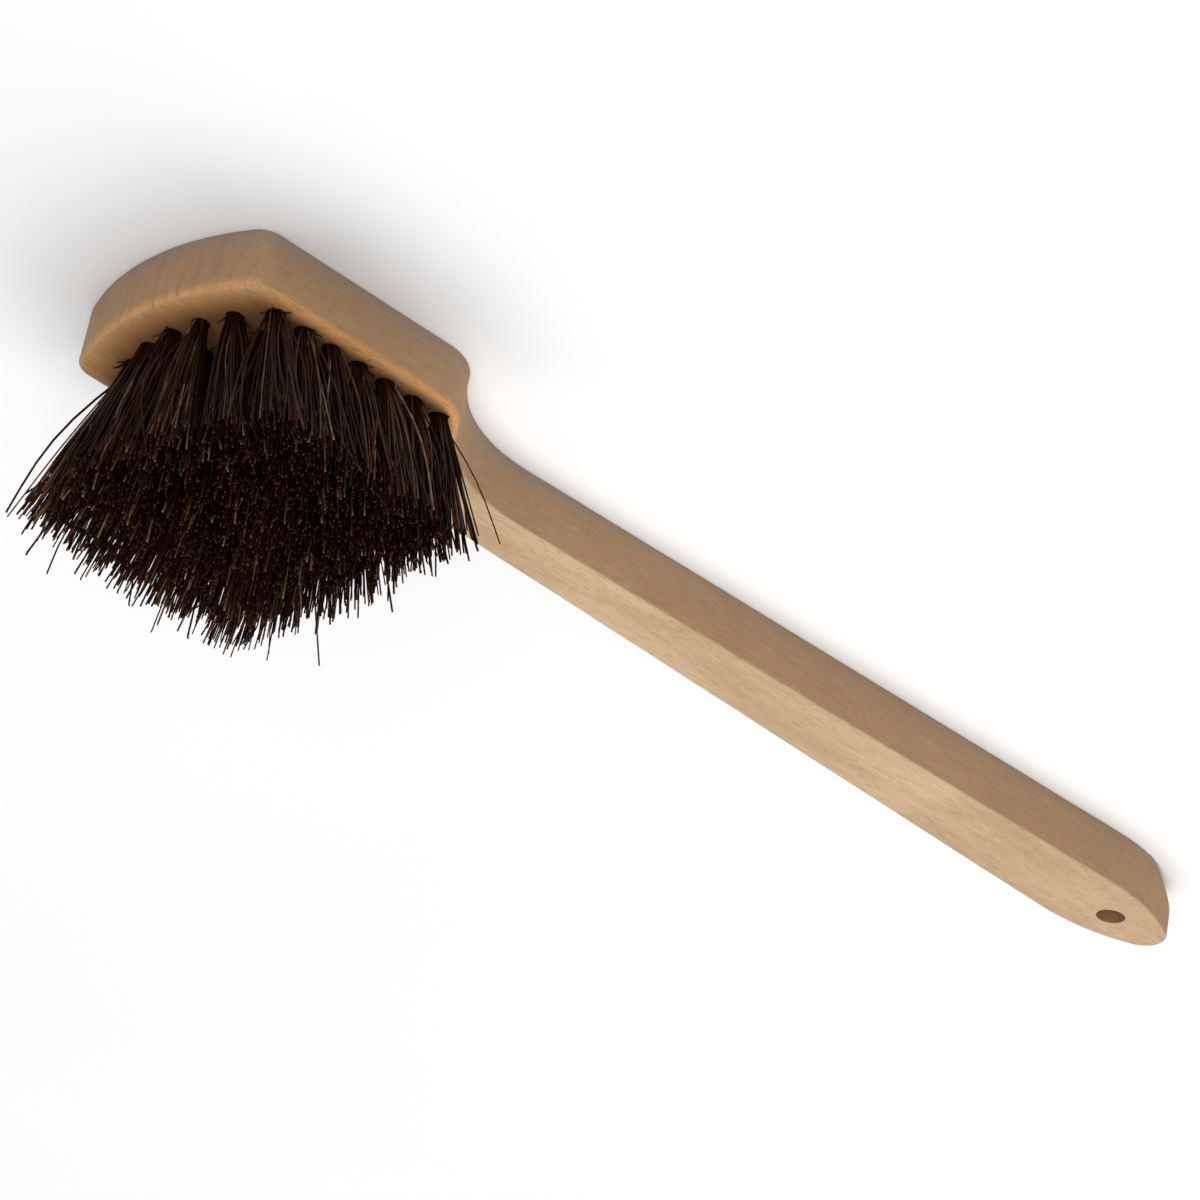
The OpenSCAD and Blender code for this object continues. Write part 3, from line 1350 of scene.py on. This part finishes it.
    def _kinks(self, reach: np.ndarray, count: int, rng: np.random.Generator) -> np.ndarray:
        """Break a few of the fibres sideways at an elbow.

        Args:
            reach: The share of its height that each point is at.
            count: How many fibres there are.
            rng: The tuft's own random numbers.

        Returns:
            How far each point is moved along x and y.
        """
        elbow = rng.uniform(*self.elbow_span, (count, 1, 1))
        kink = rng.normal(0, self.kink_size, (count, 1, 2))
        kink *= rng.random((count, 1, 1)) < self.kinked
        return kink * np.where(reach < elbow, reach / elbow, (1 - reach) / (1 - elbow))

    def _settled_lean(self, hole: TuftHole) -> np.ndarray:
        """Tell how far a tuft has come to lean beyond its hole's slant.

        Args:
            hole: The tuft's hole.

        Returns:
            The lean as a slope along x, y and z.
        """
        side = hole.y / (self.pitch_y * (self.columns - 1) / 2)
        rear = (hole.row - 1) / (self.rows - 1)
        near = self.near_splay - self.near_tuck * rear**1.5
        splay = near if side > 0 else self.far_splay * (0.15 + 0.85 * min(1.0, 2 * rear))
        outward = math.copysign(abs(side) ** 1.5, side) * math.tan(math.radians(splay))
        back = (self.upright_by + self.near_front_back * max(side, 0.0)) * (1 - rear)
        forward = (self.upright_by + self.near_rear_forward * max(side, 0.0)) * rear
        return np.array([back - forward, outward, 0.0])

    def _with_spurs(
        self, hole: TuftHole, paths: np.ndarray, width: np.ndarray, rng: np.random.Generator
    ) -> tuple[np.ndarray, np.ndarray]:
        """Add a few short broken ends that stick out sideways at the mouth of the hole.

        Args:
            hole: The tuft's hole.
            paths: The fibres' points.
            width: Each fibre's diameter.
            rng: The tuft's own random numbers.

        Returns:
            The points and the diameters of the fibres and the broken ends together.
        """
        u, v = hole.basis()
        angle = rng.uniform(0, 2 * math.pi, self.spurs)[:, None]
        out = np.cos(angle) * u + np.sin(angle) * v
        share = np.linspace(-0.4, 1, paths.shape[1])[None, :, None]
        rise = rng.uniform(*self.spur_rise, (self.spurs, 1, 1))
        reach = rng.uniform(*self.spur_reach, (self.spurs, 1, 1))
        start = hole.mouth() + out * (hole.radius - self.thickness)
        spurs = start[:, None, :] + hole.axis * share * rise
        spurs += out[:, None, :] * np.maximum(share, 0.0) ** 1.5 * reach
        thin = np.full(self.spurs, self.thickness * 0.75)
        return np.concatenate([paths, spurs]), np.append(width, thin)

    def _strips(
        self, paths: np.ndarray, width: np.ndarray, rng: np.random.Generator
    ) -> tuple[np.ndarray, list[tuple[int, ...]]]:
        """Wrap each path in a thin, slightly flat tube with cut ends.

        Args:
            paths: The fibres' points.
            width: Each fibre's diameter.
            rng: The tuft's own random numbers.

        Returns:
            The vertices and the faces.
        """
        count, rings, _ = paths.shape
        along = unit(np.gradient(paths, axis=1))
        helper = unit(rng.normal(0, 1, (count, 1, 3)) * np.array([1, 1, 0.1]))
        a = unit(np.cross(along, helper))
        b = np.cross(along, a)
        flat = rng.uniform(self.flattest, 1.0, (count, 1, 1, 1))
        taper = np.linspace(1.0, self.tip_taper, rings)[None, :, None, None]
        radius = width[:, None, None, None] / 2 * taper
        angle = np.linspace(0, 2 * math.pi, self.sides, endpoint=False)[None, None, :, None]
        ring = np.cos(angle) * a[:, :, None, :] + flat * np.sin(angle) * b[:, :, None, :]
        points = (paths[:, :, None, :] + radius * ring).reshape(-1, 3)
        one = tube_faces(0, self.sides, rings)
        size = rings * self.sides
        caps = [tuple(range(self.sides))[::-1], tuple(range(size - self.sides, size))]
        faces = [tuple(i + f * size for i in face) for f in range(count) for face in one + caps]
        return points, faces


# ---------------------------------------------------------------- the studio


@dataclass(frozen=True)
class View:
    """The camera's place, as seen from the point that it looks at."""

    aim: tuple[float, float, float] = (-0.0183, -0.0320, 0.0)
    azimuth: float = math.radians(-37.64)
    elevation: float = math.radians(28.81)
    roll: float = math.radians(191.48)
    distance: float = 1.769
    focal_mm: float = 147.6
    sensor_mm: float = 36.0

    def place(self) -> bpy.types.Object:
        """Make the camera and look through it.

        Returns:
            The camera.
        """
        level = math.cos(self.elevation)
        north, east = math.cos(self.azimuth) * level, math.sin(self.azimuth) * level
        back = Vector((east, north, math.sin(self.elevation)))
        right = (-back).cross(Vector((0, 0, 1))).normalized()
        up = back.cross(right)
        c, s = math.cos(self.roll), math.sin(self.roll)
        turned_right, turned_up = c * right + s * up, c * up - s * right
        data = bpy.data.cameras.new("camera")
        data.lens, data.sensor_width = self.focal_mm, self.sensor_mm
        data.clip_start, data.clip_end = 0.05, 50.0
        camera = bpy.data.objects.new("camera", data)
        bpy.context.scene.collection.objects.link(camera)
        turn = Matrix((turned_right, turned_up, back)).transposed().to_4x4()
        camera.matrix_world = Matrix.Translation(Vector(self.aim) + self.distance * back) @ turn
        bpy.context.scene.camera = camera
        return camera


@dataclass(frozen=True)
class SoftBox:
    """A square area light that looks at the brush."""

    name: str
    azimuth: float
    elevation: float
    distance: float
    size: float
    watts: float
    colour: Colour = (1.0, 1.0, 1.0)

    def hang(self) -> bpy.types.Object:
        """Make the light.

        Returns:
            The light.
        """
        a, e = math.radians(self.azimuth), math.radians(self.elevation)
        toward = Vector((math.cos(a) * math.cos(e), math.sin(a) * math.cos(e), math.sin(e)))
        data = bpy.data.lights.new(self.name, "AREA")
        data.energy, data.size, data.color = self.watts, self.size, self.colour
        light = bpy.data.objects.new(self.name, data)
        light.location = toward * self.distance
        light.rotation_euler = toward.to_track_quat("Z", "Y").to_euler()
        bpy.context.scene.collection.objects.link(light)
        return light


@dataclass
class Studio:
    """A plain pale floor under soft light."""

    floor_size: float = 14.0
    sky: float = 0.22
    boxes: tuple[SoftBox, ...] = (
        SoftBox("overhead", azimuth=-20.0, elevation=76.0, distance=4.2, size=4.4, watts=160.0),
        SoftBox("handle_side", azimuth=-5.0, elevation=38.0, distance=3.6, size=1.8, watts=22.0),
        SoftBox("fill", azimuth=136.0, elevation=36.0, distance=3.0, size=2.0, watts=30.0),
    )

    def build(self, material: bpy.types.Material) -> None:
        """Make the floor, the lights and the sky.

        Args:
            material: The floor's material.
        """
        half = self.floor_size / 2
        signs = np.array([[-1, -1, 0], [1, -1, 0], [1, 1, 0], [-1, 1, 0]])
        corners = signs * half / MM
        floor = make_piece("floor", corners, [(0, 1, 2, 3)], material)
        for box in self.boxes:
            box.hang()
        world = bpy.data.worlds.new("studio")
        world.use_nodes = True
        world.node_tree.nodes["Background"].inputs["Color"].default_value = (1.0, 1.0, 1.0, 1.0)
        world.node_tree.nodes["Background"].inputs["Strength"].default_value = self.sky
        bpy.context.scene.world = world
        bpy.context.scene.view_settings.view_transform = "Standard"


# ---------------------------------------------------------------- putting it together


def report(piece: bpy.types.Object) -> None:
    """Log a piece's name and how many faces it has."""
    log.info("%s: %d faces", piece.name, len(piece.data.polygons))


def main() -> None:
    """Build the brush and the studio round it."""
    effects = {Effect.STREAKS: streaks_group(), Effect.MOTTLE: mottle_group()}
    View().place()
    Studio().build(FloorFinish().build(effects))

    block, bristles = Block(), BristleField()
    block.tuft_holes = bristles.holes(block)
    body = block.build(WoodFinish().build(effects))
    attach(body, BODY)
    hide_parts("handle_block")
    report(body)

    fibre = FibreFinish().build(effects)
    for hole in block.tuft_holes:
        tuft = bristles.build_tuft(hole, fibre)
        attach(tuft, BODY)
        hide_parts(f"tuft_{hole.row}_{hole.column}")
        report(tuft)

    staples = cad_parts["anchor_staples"]
    wire = WireFinish().build(effects)
    staples.data.materials.clear()
    staples.data.materials.append(wire)
    report(staples)


if __name__ == "__main__":
    logging.basicConfig(level=logging.INFO, format="%(name)s: %(message)s")
    main()
